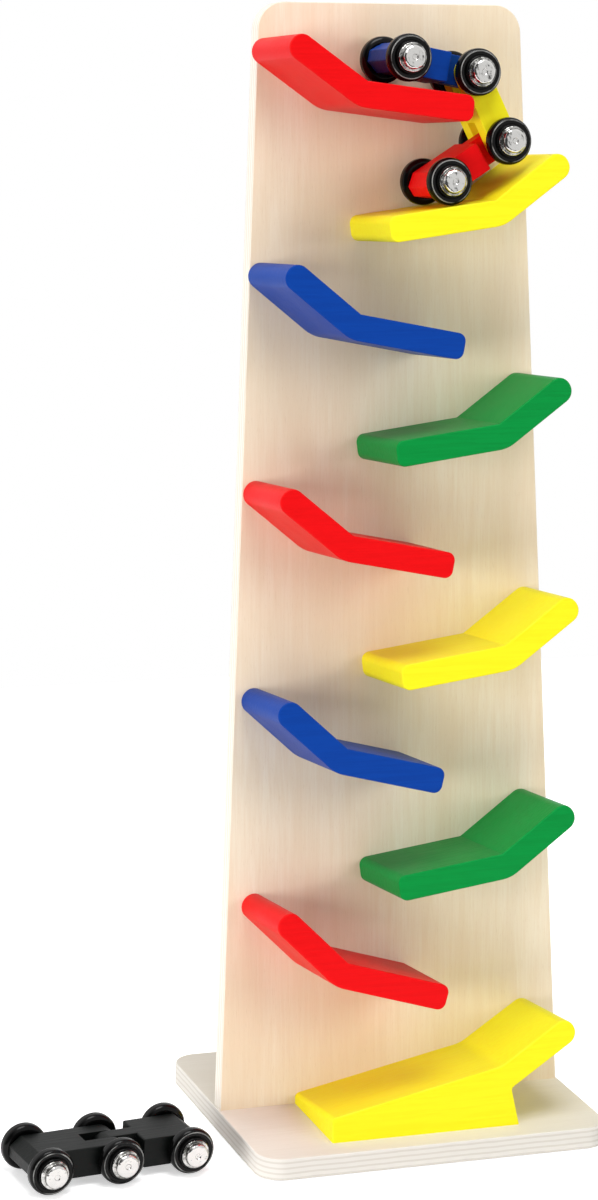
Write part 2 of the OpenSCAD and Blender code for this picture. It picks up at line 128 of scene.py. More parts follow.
def rounded(corners, steps=8):
    """Points and outward normals of a closed outline, run anticlockwise.

    A corner is (x, z, r). With unit vectors u and v from the corner p towards its two
    neighbours, and the angle a between them, its arc has the centre
    c = p + (u + v) / |u + v| * r / sin(a / 2) and starts at p + u * r / tan(a / 2).
    At a point q of the arc the normal is (q - c) / r on an outer corner and
    (c - q) / r on an inner one. Each row of the result is x, z, normal x, normal z.
    """
    table = np.array(corners, float)
    p, r = table[:, :2], table[:, 2:]
    u, v = unit(np.roll(p, 1, 0) - p), unit(np.roll(p, -1, 0) - p)
    half = np.arccos(np.clip((u * v).sum(1, keepdims=True), -1, 1)) / 2
    centre = p + unit(u + v) * r / np.sin(half)
    start = p + u * r / np.tan(half) - centre
    end = p + v * r / np.tan(half) - centre
    turned = start[:, 0] * end[:, 1] - start[:, 1] * end[:, 0]
    sweep = np.arctan2(turned, (start * end).sum(1))[:, None]
    a = np.arctan2(start[:, 1:], start[:, :1]) + sweep * np.linspace(0, 1, steps + 1)
    away = np.stack((np.cos(a), np.sin(a)), 2)
    arc = centre[:, None] + r[:, None] * away
    return np.concatenate((arc, np.sign(sweep)[:, None] * away), 2).reshape(-1, 4)


def circle(x, z, r, steps=32):
    """Points (x + r cos a, z + r sin a) of a round hole, for an even run of angles a."""
    a = np.linspace(0, 2 * math.pi, steps + 1)[:-1]
    return np.stack((x + r * np.cos(a), z + r * np.sin(a)), 1)


square = rounded([(0, 0, 1), (9, 0, 1), (9, 9, 1), (0, 9, 1)])
print("A square with round corners has", len(square), "points")

# %% [markdown]
# ## Surfaces
#
# A Shape gathers points, normals and faces, and two things that the finishes need at
# every point: whether it lies on a sawn side, and whether it lies on a softened edge. On a
# turned piece, the second mark says instead where light or shade is painted.
# Every face is checked against the normals, so that all of them point outwards.


# %% Surfaces
class Shape:
    """Points, normals, faces and marks (sawn side; softened edge, which on a turned piece is
    where light is painted) of one surface, in mm.
    """

    def __init__(self):
        self.points, self.normals, self.marks, self.faces = [], [], [], []
        self.count = 0

    def add(self, points, normals, marks, faces):
        """Adds faces over new points. A face whose corners run the wrong way for the
        normals is turned round: its own normal is the cross product of its diagonals."""
        points, normals = np.asarray(points, float), np.asarray(normals, float)
        faces = np.asarray(faces, int)
        last = 3 if faces.shape[1] == 4 else 2
        across = points[faces[:, 2]] - points[faces[:, 0]]
        other = points[faces[:, last]] - points[faces[:, 1]]
        wrong = (np.cross(across, other) * normals[faces].sum(1)).sum(1) < 0
        faces[wrong] = faces[wrong][:, ::-1]
        self.points.append(points)
        self.normals.append(normals)
        self.marks.append(np.broadcast_to(np.asarray(marks, float), points.shape))
        self.faces.append(faces + self.count)
        self.count += len(points)

    def rings(self, rings, normals, marks, closed=True):
        """Quads between rings of n points each: ring i and ring i + 1, point j and j + 1."""
        m, n = rings.shape[:2]
        i, j = np.meshgrid(np.arange(m - 1), np.arange(n if closed else n - 1), indexing="ij")
        i, j = i.ravel(), j.ravel()
        k = (j + 1) % n
        faces = np.stack((i * n + j, i * n + k, (i + 1) * n + k, (i + 1) * n + j), 1)
        flat = (m * n, 3)
        self.add(rings.reshape(flat), normals.reshape(flat), marks.reshape(flat), faces)


# %% [markdown]
# ## Sawn plates and turned pieces
#
# A plate is its outline carried from one face to the other, with a quarter round at
# each end. A turned piece is its section carried round the axle. Holes are drawn as
# circles in the flat faces, each with a short round wall behind it.


# %% Sawn plates
def flat_face(shape, loops, y, facing):
    """A flat face at y over an outline and the round holes in it."""
    flat = np.concatenate(loops)
    drawn = [[Vector((x, z, 0)) for x, z in loop] for loop in loops]
    faces = np.array(tessellate_polygon(drawn))
    points = np.insert(flat, 1, y, axis=1)
    shape.add(points, np.broadcast_to((0, facing, 0), points.shape), (0, 0, 0), faces)


def hole_wall(shape, x, z, r, y0, y1):
    """The inside of a round hole: its circle at y0 and at y1, with normals to its middle."""
    flat = circle(x, z, r)
    inwards = np.stack(((x - flat[:, 0]) / r, 0 * flat[:, 0], (z - flat[:, 1]) / r), 1)
    rings = np.stack([np.insert(flat, 1, y, axis=1) for y in (y0, y1)])
    shape.rings(rings, np.stack((inwards, inwards)), np.zeros(rings.shape))


def sawn(shape, outline, y0, y1, soft0=0.0, soft1=0.0, holes=(), ends=(True, True)):
    """A plate between y0 and y1 with a softened edge at either end.

    At the angle t from the side wall, an edge of radius s has moved inwards by
    s (1 - cos t) and lies s (1 - sin t) from the end face. Its normal is
    cos t times the outline's own and sin t straight out of the end face.
    """
    quarter = np.linspace(0, 90, 6)
    bends = [quarter[::-1] if soft0 else np.zeros(1), quarter if soft1 else np.zeros(1)]
    sizes = [len(b) for b in bends]
    t = np.radians(np.concatenate(bends))[:, None]
    pairs = ((-1.0, 1.0), (soft0, soft1), (y0, y1))
    way, soft, end = (np.repeat(pair, sizes)[:, None] for pair in pairs)
    x, z, out_x, out_z = outline.T
    inwards = soft * (1 - np.cos(t))
    zero = 0 * x
    level = end - way * soft * (1 - np.sin(t)) + zero
    rings = np.stack((x - inwards * out_x, level, z - inwards * out_z), 2)
    normals = np.stack((np.cos(t) * out_x, way * np.sin(t) + zero, np.cos(t) * out_z), 2)
    marks = np.stack((np.cos(t) + zero, np.sin(2 * t) + zero, 0 * t + zero), 2)
    shape.rings(rings, normals, marks)
    cut = [circle(*hole) for hole in holes]
    for ring, closed_off, facing in ((rings[0], ends[0], -1), (rings[-1], ends[1], 1)):
        if closed_off:
            flat_face(shape, [ring[:, (0, 2)], *cut], ring[0, 1], facing)
    return rings


# %% Turned pieces
def lathe(outline, painted_light_from, painted_light_y=-math.inf, segments=80):
    """A round piece about the y axis. An outline row (r, y, normal r, normal y) at the
    angle a becomes the point (r cos a, y, r sin a), and its normal turns with it.
    Rows with r past painted_light_from and y past painted_light_y are marked for painted
    light: a painted highlight on a wheel's bead, and painted dark reflections on a cap."""
    made = Shape()
    a = np.linspace(0, 2 * math.pi, segments + 1)[:-1]
    c, s, one = np.cos(a), np.sin(a), np.ones_like(a)
    r, y, nr, ny = np.concatenate((outline, outline[:1])).T
    rings = np.stack((np.outer(r, c), np.outer(y, one), np.outer(r, s)), 2)
    normals = np.stack((np.outer(nr, c), np.outer(ny, one), np.outer(nr, s)), 2)
    wear_and_painted_light = (r > painted_light_from) & (y > painted_light_y)
    marks = np.zeros_like(rings)
    marks[wear_and_painted_light, :, 1] = 1
    made.rings(rings, normals, marks)
    return made


# %% [markdown]
# ## From a shape to a piece
#
# The mesh gets the exact normals and two attributes. "place" is the point's place in
# its own stock: along the grain, across it, and through the thickness. "skin" holds the
# marks. Storing these on the mesh lets one wood finish serve pieces at any angle.

# %% From a shape to a piece
GRAIN_X = ((1, 0, 0), (0, 1, 0), (0, 0, 1))
GRAIN_UP = ((0, 0, 1), (1, 0, 0), (0, 1, 0))
GRAIN_SIDE = ((1, 0, 0), (0, 0, 1), (0, 1, 0))


def piece(shape, name, body, material, places, grain, replaces):
    """One Blender object, with the shape placed by each of the matrices in places.

    The rows of grain say which local axis runs along it, across it and through the stock.
    """
    parts = (shape.points, shape.normals, shape.marks)
    local, turned, marks = (np.concatenate(part) for part in parts)
    copies = [np.array(m) for m in places]
    co = np.concatenate([(local @ m[:3, :3].T + m[:3, 3]) * MM for m in copies])
    out = unit(np.concatenate([turned @ m[:3, :3].T for m in copies]))
    blocks = [block + k * len(local) for k in range(len(copies)) for block in shape.faces]
    faces = [face for block in blocks for face in block.tolist()]
    mesh = bpy.data.meshes.new(name)
    mesh.from_pydata(np.zeros((len(co), 3)), [], faces)
    mesh.vertices.foreach_set("co", co.ravel())
    for label, values in (("place", local @ np.array(grain, float).T), ("skin", marks)):
        attribute = mesh.attributes.new(label, "FLOAT_VECTOR", "POINT")
        attribute.data.foreach_set("vector", np.tile(values, (len(copies), 1)).ravel())
    mesh.polygons.foreach_set("use_smooth", np.ones(len(mesh.polygons), bool))
    mesh.normals_split_custom_set_from_vertices(out)
    mesh.materials.append(material)
    mesh.update()
    thing = bpy.data.objects.new(name, mesh)
    bpy.context.scene.collection.objects.link(thing)
    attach(thing, body)
    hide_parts(replaces)
    size = " x ".join(f"{v / MM:.1f}" for v in np.ptp(co, axis=0))
    print(f"{name}: {len(faces)} faces, {size} mm, rides on {body}")


# %% [markdown]
# ## Where pieces stand
#
# The board leans back, so everything on it is worked out in the board's own upright
# coordinates and turned once. The train's middle joint follows from its two ends: it is
# the point one axle gap from both of them.


# %% Places on the board
def move(x, y, z):
    """A shift by x, y and z."""
    return Matrix.Translation((x, y, z))


def turn(degrees, axis):
    """A turn about one axis through the origin."""
    return Matrix.Rotation(math.radians(degrees), 4, axis)


BOARD_Y = BOARD_SETBACK - BASE_D / 2
ON_BOARD = move(0, BOARD_Y, BASE_T) @ turn(-BOARD_LEAN, "X")


def ramp_side(i):
    """1 for a ramp whose flat leg runs to the right, and -1 for the others."""
    return 1 if i % 2 == 0 else -1


def bend(i):
    """Ramp i bends at its share of the board's length, and at its share of half the
    width that the board has at that height."""
    z = BOARD_L * BEND_RISE_SHARES[i]
    half_w = (BOARD_FOOT_W + (BOARD_TOP_W - BOARD_FOOT_W) * z / BOARD_L) / 2
    return np.array((-ramp_side(i) * BEND_OUT_SHARES[i] * half_w, z))


def leg(i, slope, up):
    """Unit vectors along a leg of ramp i, away from its bend, and out of its top."""
    a = math.radians(slope - RAMP_TURNS[i])
    along = np.array((ramp_side(i) * math.cos(a), -math.sin(a)))
    out = np.array((ramp_side(i) * math.sin(a), math.cos(a)))
    return (-along if up else along), out


def on_ramp(i, along, lift):
    """An axle over the flat leg of ramp i: the bend, plus the way along the leg, plus a
    wheel's radius and the lift square to it."""
    d, up = leg(i, FLAT_ANGLE, False)
    return bend(i) + along * d + (WHEEL_R + SEAT_GAP + lift) * up


print("The top ramp bends at", bend(0).round(1), "on the board")


# %% Places of the axles
first = on_ramp(0, TRAIN_BACK_ON_RAMP, TRAIN_BACK_LIFT)
rear_slope = math.radians(REAR_LINK_ANGLE)
second = first + AXLE_GAP * np.array((math.cos(rear_slope), math.sin(rear_slope)))
fourth = on_ramp(1, TRAIN_FRONT_ON_RAMP, 0)
half = np.linalg.norm(second - fourth) / 2
across = (second - fourth) / (2 * half)
aside = np.array((across[1], -across[0]))
# Halfway between its neighbours, and then square to the line from one to the other
third = (second + fourth) / 2 + math.sqrt(AXLE_GAP**2 - half**2) * aside
TRAIN_AXLES = (first, second, third, fourth)


def at_train_axle(k):
    """The middle of axle k of the train, in front of the board."""
    x, z = TRAIN_AXLES[k]
    return ON_BOARD @ move(x, -RAMP_D / 2, z)


def from_train_axle(k, following):
    """The same place, turned so that x runs towards the following axle."""
    x, z = TRAIN_AXLES[following] - TRAIN_AXLES[k]
    return at_train_axle(k) @ turn(-math.degrees(math.atan2(z, x)), "Y")


def at_floor_axle(k):
    """The middle of axle k of the floor car, counted from its middle axle."""
    spot = move(-BASE_W / 2 - FLOOR_CAR_OUT, -FLOOR_CAR_FRONT, WHEEL_R)
    return spot @ turn(FLOOR_CAR_TURN, "Z") @ move((k - 1) * AXLE_GAP, 0, 0)


print("Train axles on the board:", [axle.round(1).tolist() for axle in TRAIN_AXLES])

# %% [markdown]
# ## Shared effects
#
# Three small node groups serve all the finishes. They only give masks and heights, so
# each finish decides what to do with them.
#
# - Wood figure: noise pulled out along the grain. Streaks are a few millimetres wide,
#   fibres are fine, pores are short, and clouds are the broad changes of tone.
# - Plies: the layers of plywood, which only show on sawn sides.
# - Handling and painted light: faint smudges, which keep a paint or a metal from looking
#   perfect, and patches along marked edges. These patches give wear on lacquer, a painted
#   highlight on tyres and painted dark reflections on caps.


# %% Helpers for node trees
def node(tree, kind, settings=None, **sockets):
    """A new node. Settings are its own properties. A socket gets a link or a value, and
    is given by its name, with underscores for spaces, or by its number after one."""
    made = tree.nodes.new(kind)
    for key, value in (settings or {}).items():
        setattr(made, key, value)
    for key, value in sockets.items():
        target = made.inputs[int(key[1:]) if key[0] == "_" else key.replace("_", " ")]
        if isinstance(value, bpy.types.NodeSocket):
            tree.links.new(value, target)
        else:
            target.default_value = value
    return made


def group(name, inputs, outputs):
    """A node group, its input node and its output node."""
    tree = bpy.data.node_groups.new(name, "ShaderNodeTree")
    for label, value in inputs:
        made = tree.interface.new_socket(label, in_out="INPUT", socket_type="NodeSocketFloat")
        made.default_value = value
    for label in outputs:
        tree.interface.new_socket(label, in_out="OUTPUT", socket_type="NodeSocketFloat")
    print("Node group", name, "puts out", ", ".join(outputs))
    return tree, tree.nodes.new("NodeGroupInput"), tree.nodes.new("NodeGroupOutput")


def between(tree, value, low, high):
    """0 at low, 1 at high, and a smooth step from one to the other."""
    made = node(tree, "ShaderNodeMapRange", {"interpolation_type": "SMOOTHSTEP"}, Value=value)
    made.inputs["From Min"].default_value = low
    made.inputs["From Max"].default_value = high
    return made.outputs[0]


def times(tree, a, b):
    """The product of two values."""
    return node(tree, "ShaderNodeMath", {"operation": "MULTIPLY"}, _0=a, _1=b).outputs[0]


# %% Wood figure
def wood_figure():
    """Each output is noise at place * stretch, and a stretch is one over a length in mm.
    The noise is 0 up to its low value and 1 from its high one."""
    masks = ["Streaks", "Fibres", "Pores", "Clouds"]
    tree, given, result = group("Wood figure", [("Coarseness", 1.0)], masks)
    place = node(tree, "ShaderNodeAttribute", {"attribute_name": "place"})
    sized = node(
        tree, "ShaderNodeVectorMath", {"operation": "DIVIDE"},
        _0=place.outputs["Vector"], _1=given.outputs[0],
    )
    for label, along, across_grain, detail, bent, low, high in (
        ("Streaks", 0.013, 0.16, 3.0, 1.0, 0.3, 0.7),
        ("Fibres", 0.03, 0.75, 3.0, 0.7, 0.35, 0.68),
        ("Pores", 0.18, 2.6, 2.0, 0.0, 0.6, 0.76),
        ("Clouds", 0.006, 0.022, 2.0, 0.5, 0.3, 0.7),
    ):
        pulled = node(
            tree, "ShaderNodeVectorMath", {"operation": "MULTIPLY"},
            _0=sized.outputs[0], _1=(along, across_grain, across_grain),
        )
        noise = node(
            tree, "ShaderNodeTexNoise",
            Vector=pulled.outputs[0], Scale=1.0, Detail=detail, Distortion=bent,
        )
        tree.links.new(between(tree, noise.outputs[0], low, high), result.inputs[label])
    return tree


FIGURE = wood_figure()


# %% Plies
def plies():
    """Layer is 0 and 1 in turn through the stock, with a slight waver, and Side is 1 on
    a sawn side."""
    tree, given, result = group("Plies", [("Ply thickness", 1.7)], ["Layer", "Side"])
    place = node(tree, "ShaderNodeAttribute", {"attribute_name": "place"})
    skin = node(tree, "ShaderNodeAttribute", {"attribute_name": "skin"})
    depth = node(tree, "ShaderNodeSeparateXYZ", Vector=place.outputs["Vector"])
    side = node(tree, "ShaderNodeSeparateXYZ", Vector=skin.outputs["Vector"])
    waver = node(
        tree, "ShaderNodeTexNoise", Vector=place.outputs["Vector"], Scale=0.05, Detail=2.0
    )
    shifted = node(
        tree, "ShaderNodeMath", {"operation": "MULTIPLY_ADD"},
        _0=waver.outputs[0], _1=1.1, _2=depth.outputs[2],
    )
    pair = node(
        tree, "ShaderNodeMath", {"operation": "DIVIDE"},
        _0=shifted.outputs[0], _1=given.outputs[0],
    )
    wave = node(tree, "ShaderNodeMath", {"operation": "PINGPONG"}, _0=pair.outputs[0], _1=1.0)
    tree.links.new(between(tree, wave.outputs[0], 0.5, 0.8), result.inputs["Layer"])
    tree.links.new(side.outputs[0], result.inputs["Side"])
    return tree


PLIES = plies()


# %% Handling
def handling_and_painted_light():
    """Smudges as wide as Size, in metres, and Edge, which is 1 in patches along the marked
    edges: wear on lacquer, a painted highlight on tyres and painted dark reflections on caps.
    """
    tree, given, result = group("Handling and painted light", [("Size", 0.03)], ["Smudges", "Edge"])
    coordinates = node(tree, "ShaderNodeTexCoord")
    skin = node(tree, "ShaderNodeAttribute", {"attribute_name": "skin"})
    sized = node(
        tree, "ShaderNodeVectorMath", {"operation": "DIVIDE"},
        _0=coordinates.outputs["Object"], _1=given.outputs[0],
    )
    noise = node(tree, "ShaderNodeTexNoise", Vector=sized.outputs[0], Scale=1.0, Detail=3.0)
    edge = node(tree, "ShaderNodeSeparateXYZ", Vector=skin.outputs["Vector"])
    broken = between(tree, noise.outputs[0], 0.35, 0.65)
    tree.links.new(noise.outputs[0], result.inputs["Smudges"])
    tree.links.new(times(tree, edge.outputs[1], broken), result.inputs["Edge"])
    return tree


HANDLING_AND_PAINTED_LIGHT = handling_and_painted_light()

# %% [markdown]
# ## Finishes
#
# The ramps and links are wood under a thin lacquer. It is opaque, and the grain below it
# only shows as a slight unevenness. The birch board is clear, with soft upright figure.
# The base is the same plywood under a thin white wash. Tyres are black plastic, with a
# grey highlight painted on the bead. The hub caps are nickel plate, a little uneven, with
# small dents, so that they mirror the room in patches. Dark reflections are painted in
# patches on their flanges and round their raised middles.


# %% Helpers for finishes
def finish(name, **settings):
    """A new material, its tree and its Principled node, with the given inputs set."""
    made = bpy.data.materials.new(name)
    made.use_nodes = True
    tree = made.node_tree
    shader = tree.nodes["Principled BSDF"]
    for key, value in settings.items():
        shader.inputs[key.replace("_", " ")].default_value = value
    print("Finish:", name)
    return made, tree, shader


def effect(tree, which, value):
    """One of the shared effects, with its one input set to the value."""
    made = tree.nodes.new("ShaderNodeGroup")
    made.node_tree = which
    made.inputs[0].default_value = value
    return made


def mix(tree, factor, a, b):
    """The colour a (1 - factor) + b factor."""
    made = tree.nodes.new("ShaderNodeMix")
    made.data_type = "RGBA"
    for target, value in ((0, factor), (6, a), (7, b)):
        if isinstance(value, bpy.types.NodeSocket):
            tree.links.new(value, made.inputs[target])
        else:
            made.inputs[target].default_value = value
    return made.outputs[2]


def bumped(tree, shader, height, strength, distance, **under):
    """Tilts the normals by the slope of the height, which reaches the distance in metres."""
    made = node(
        tree, "ShaderNodeBump", Strength=strength, Distance=distance, Height=height, **under
    )
    tree.links.new(made.outputs[0], shader.inputs["Normal"])
    return made.outputs[0]


def roughened(tree, shader, smudges, low, high):
    """Roughness from low to high as the smudges go from 0 to 1."""
    ranged = node(tree, "ShaderNodeMapRange", Value=smudges)
    ranged.inputs["To Min"].default_value = low
    ranged.inputs["To Max"].default_value = high
    tree.links.new(ranged.outputs[0], shader.inputs["Roughness"])


# %% Lacquered wood
def lacquer(name, colour, deep, wear_and_painted_highlight, shine=0.1):
    """Lacquered wood: colour with darker streaks (deep), and a lighter tone of wear on its edges.
    """
    made, tree, shader = finish(name, Specular_IOR_Level=shine)
    wood = effect(tree, FIGURE, 1.3)
    handling_and_light = effect(tree, HANDLING_AND_PAINTED_LIGHT, 0.03)
    toned = mix(tree, times(tree, wood.outputs["Fibres"], 0.4), (*colour, 1), (*deep, 1))
    pored = mix(tree, times(tree, wood.outputs["Pores"], 0.4), toned, (*deep, 1))
    wear_and_painted_light = mix(tree, times(tree, handling_and_light.outputs["Edge"], 0.15), pored, (*wear_and_painted_highlight, 1))
    tree.links.new(wear_and_painted_light, shader.inputs["Base Color"])
    roughened(tree, shader, handling_and_light.outputs["Smudges"], 0.34, 0.5)
    bumped(tree, shader, wood.outputs["Fibres"], 0.2, 0.0002)
    return made


LACQUER = {
    "red": lacquer("Red lacquer", (0.76, 0.003, 0.005), (0.66, 0.002, 0.003), (0.82, 0.05, 0.04)),
    "yellow": lacquer(
        "Yellow lacquer", (0.9, 0.81, 0.015), (0.88, 0.72, 0.008), (0.93, 0.86, 0.13)
    ),
    "blue": lacquer(
        "Blue lacquer", (0.002, 0.047, 0.31), (0.002, 0.034, 0.24), (0.02, 0.1, 0.42)
    ),
    "green": lacquer(
        "Green lacquer", (0.001, 0.255, 0.043), (0.001, 0.19, 0.03), (0.02, 0.34, 0.09)
    ),
    "black": lacquer(
        "Charcoal lacquer", (0.003, 0.004, 0.0035), (0.002, 0.0025, 0.002), (0.03, 0.033, 0.03),
        shine=0.16,
    ),
}


# %% Plywood
def plywood(name, face, streak, pore, light_ply, dark_ply, ply_t, roughness):
    """Plywood: figured face veneers, and light and dark plies on the sawn sides."""
    made, tree, shader = finish(name, Specular_IOR_Level=0.25)
    wood = effect(tree, FIGURE, 1.0)
    handling_and_light = effect(tree, HANDLING_AND_PAINTED_LIGHT, 0.05)
    layers = effect(tree, PLIES, ply_t)
    clouded = mix(tree, times(tree, wood.outputs["Clouds"], 0.6), (*face, 1), (*streak, 1))
    streaked = mix(tree, times(tree, wood.outputs["Streaks"], 0.4), clouded, (*streak, 1))
    fibred = mix(tree, times(tree, wood.outputs["Fibres"], 0.33), streaked, (*streak, 1))
    pored = mix(tree, times(tree, wood.outputs["Pores"], 0.4), fibred, (*pore, 1))
    sawn_side = mix(tree, layers.outputs["Layer"], (*light_ply, 1), (*dark_ply, 1))
    shown = mix(tree, layers.outputs["Side"], pored, sawn_side)
    tree.links.new(shown, shader.inputs["Base Color"])
    roughened(tree, shader, handling_and_light.outputs["Smudges"], roughness, roughness + 0.12)
    bumped(tree, shader, wood.outputs["Fibres"], 0.1, 0.00015)
    return made


BIRCH = plywood(
    "Clear birch plywood",
    face=(0.88, 0.78, 0.62), streak=(0.79, 0.63, 0.44), pore=(0.64, 0.48, 0.31),
    light_ply=(0.87, 0.82, 0.74), dark_ply=(0.76, 0.67, 0.56), ply_t=1.43, roughness=0.5,
)
WHITEWASHED = plywood(
    "Whitewashed plywood",
    face=(0.77, 0.73, 0.66), streak=(0.71, 0.66, 0.58), pore=(0.62, 0.56, 0.48),
    light_ply=(0.72, 0.69, 0.64), dark_ply=(0.62, 0.58, 0.52), ply_t=1.5, roughness=0.55,
)

# %% Black plastic
TYRE, tree, shader = finish("Black plastic", Specular_IOR_Level=0.18)
handling_and_light = effect(tree, HANDLING_AND_PAINTED_LIGHT, 0.01)
# Grey mixed in, in patches, on the bead is a painted highlight.
wear_and_painted_highlight = mix(tree, handling_and_light.outputs["Edge"], (0.002, 0.002, 0.002, 1), (0.28, 0.28, 0.27, 1))
tree.links.new(wear_and_painted_highlight, shader.inputs["Base Color"])
roughened(tree, shader, handling_and_light.outputs["Smudges"], 0.12, 0.22)

# %% Nickel plate and steel
NICKEL, tree, shader = finish("Nickel plate", Metallic=1.0)
dents = effect(tree, HANDLING_AND_PAINTED_LIGHT, 0.0019)
# Near black mixed in, in patches, on the flange and round the raised middle is a painted dark
# reflection.
painted_dark_reflection = effect(tree, HANDLING_AND_PAINTED_LIGHT, 0.004).outputs["Edge"]
nickel_with_painted_dark = mix(tree, painted_dark_reflection, (0.72, 0.71, 0.69, 1), (0.12, 0.12, 0.11, 1))
tree.links.new(nickel_with_painted_dark, shader.inputs["Base Color"])
uneven = bumped(tree, shader, effect(tree, HANDLING_AND_PAINTED_LIGHT, 0.009).outputs["Smudges"], 0.8, 0.003)
roughened(tree, shader, dents.outputs["Smudges"], 0.1, 0.24)
bumped(tree, shader, dents.outputs["Smudges"], 0.2, 0.0003, Normal=uneven)

STEEL, tree, shader = finish("Steel", Base_Color=(0.5, 0.51, 0.52, 1), Metallic=1.0)
roughened(tree, shader, effect(tree, HANDLING_AND_PAINTED_LIGHT, 0.004).outputs["Smudges"], 0.25, 0.45)

# %% [markdown]
# ## Base and board
#
# Both are plywood. The edge is broken by hand with fine paper, by less than a
# millimetre, and the plies show on it. The board's foot is bevelled so that it stands flat
# on the base while it leans. In board coordinates that bevel rises by y tan(lean), and
# the outline is drawn a little too long below, to be trimmed to it.
#
# Three screws come up through the base into the board, and two go through the board
# into each ramp. Their heads are sunk in round holes, seen from below and from behind.


# %% Places of the screws
def leg_screws(start, legs):
    """For each (along, out, length): a share of the length along the leg from its start,
    and half the stock's thickness below its top."""
    return [
        start + along * length * LEG_SCREW_SHARE - out * RAMP_T / 2
        for along, out, length in legs
    ]


ramp_screws = []
for i, share in enumerate(RAMP_LENGTH_SHARES):
    steep_leg = (*leg(i, STEEP_ANGLE, True), STEEP_L * share)
    flat_leg = (*leg(i, FLAT_ANGLE, False), FLAT_L * share)
    ramp_screws += leg_screws(bend(i), [steep_leg, flat_leg])

a_flat, a_steep = math.radians(EXIT_FLAT_ANGLE), math.radians(EXIT_STEEP_ANGLE)
exit_flat = np.array((-math.cos(a_flat), -math.sin(a_flat)))
exit_flat_up = np.array((-math.sin(a_flat), math.cos(a_flat)))
exit_steep = np.array((math.cos(a_steep), math.sin(a_steep)))
exit_steep_up = np.array((-math.sin(a_steep), math.cos(a_steep)))
exit_legs = [(exit_steep, exit_steep_up, STEEP_L), (exit_flat, exit_flat_up, FLAT_L)]
ramp_screws += leg_screws(EXIT_BEND, exit_legs)

# Halfway up its grip in the board, a base screw is at the middle of the board's thickness
half_grip = (SCREW_L - BASE_T) / 2
half_board = BOARD_T / 2 / math.cos(math.radians(BOARD_LEAN))
base_screw_y = BOARD_Y + half_board + half_grip * FOOT_RISE
print("Screws through the board and the base:", len(ramp_screws), len(FOOT_SCREW_SHARES))


# %% Base and board
def screwed_face(shape, ring, y, facing, screws):
    """A flat face with a round hole at every screw, and a short wall behind each hole."""
    holes = [(x, z, SCREW_HOLE_R) for x, z in screws]
    flat_face(shape, [ring, *(circle(*hole) for hole in holes)], y, facing)
    for hole in holes:
        hole_wall(shape, *hole, y, y - facing * SCREW_HOLE_DEPTH)


plate = Shape()
CORNER_SIGNS = ((-1, -1), (1, -1), (1, 1), (-1, 1))
plate_corners = [(sx * BASE_W / 2, sz * BASE_D / 2, BASE_CORNER_R) for sx, sz in CORNER_SIGNS]
plate_outline = rounded(plate_corners, 12)
rings = sawn(plate, plate_outline, 0, BASE_T, BASE_SOFT, BASE_SOFT, ends=(False, True))
base_screws = [(share * BOARD_FOOT_W / 2, -base_screw_y) for share in FOOT_SCREW_SHARES]
screwed_face(plate, rings[0][:, (0, 2)], 0, -1, base_screws)
# The plate is drawn upright like every other outline, and laid down here
laid = turn(90, "X")
piece(plate, "Base", "root", WHITEWASHED, [laid], GRAIN_SIDE, "base_plate")

board = Shape()
board_outline = rounded([
    (-BOARD_FOOT_W / 2, -BOARD_T, BOARD_FOOT_R), (BOARD_FOOT_W / 2, -BOARD_T, BOARD_FOOT_R),
    (BOARD_TOP_W / 2, BOARD_L, BOARD_CORNER_R), (-BOARD_TOP_W / 2, BOARD_L, BOARD_CORNER_R),
], 12)
rings = sawn(board, board_outline, 0, BOARD_T, BOARD_SOFT, BOARD_SOFT, ends=(True, False))
screwed_face(board, rings[-1][:, (0, 2)], BOARD_T, 1, ramp_screws)


def trimmed_foot(shape):
    """The points with z raised to y tan(lean), so that the foot lies flat on the base."""
    return [
        np.stack((p[:, 0], p[:, 1], np.maximum(p[:, 2], p[:, 1] * FOOT_RISE)), 1)
        for p in shape.points
    ]


board.points = trimmed_foot(board)
piece(board, "Board", "root", BIRCH, [ON_BOARD], GRAIN_UP, "back_board")

# %% [markdown]
# ## Ramps
#
# Every ramp is sawn from one piece of 14 mm stock to the same bent outline. Its top end
# is fully round and its flat leg ends in two small corners. The front edge is sanded
# softer than the rest, and the back is screwed flat to the board, so it stays sharp.


# %% Ramps
def ramp_outline(i):
    """Corners of ramp i: the bend, the flat leg's end, under the bend, and the round top."""
    flat, flat_up = leg(i, FLAT_ANGLE, False)
    steep, steep_up = leg(i, STEEP_ANGLE, True)
    share = RAMP_LENGTH_SHARES[i]
    tip, top = flat * FLAT_L * share, steep * STEEP_L * share
    under = -(flat_up + steep_up) * RAMP_T / (1 + flat_up @ steep_up)
    from_bend = (
        ((0, 0), BEND_INNER_R), (tip, TIP_R), (tip - flat_up * RAMP_T, TIP_R), (under, BEND_R),
        (top - steep_up * RAMP_T, END_R), (top, END_R),
    )
    corners = [(*(bend(i) + p), r) for p, r in from_bend]
    return rounded(corners[::-1] if ramp_side(i) > 0 else corners)


for i, colour in enumerate(RAMP_COLOURS):
    ramp = Shape()
    sawn(ramp, ramp_outline(i), -RAMP_D, 0, soft0=RAMP_SOFT)
    slot, cad = f"{colour}_paint", f"ramp_{i + 1}_{colour}"
    piece(ramp, f"Ramp-{i + 1}", "root", LACQUER[colour], [ON_BOARD], GRAIN_X, cad)

# %% [markdown]
# ## Exit ramp
#
# The last ramp carries the train out onto the base. Its underside is cut so that it
# stands flat there, with a notch above its foot at the right. The end of its lip is cut
# upright, and its top edge is rounded.

# %% Exit ramp
lip = EXIT_BEND + EXIT_L * exit_flat
top = EXIT_BEND + exit_steep * STEEP_L
below = EXIT_BEND - exit_steep_up * RAMP_T
notch = below + exit_steep * (EXIT_BEND[0] + EXIT_NOTCH_OUT - below[0]) / exit_steep[0]
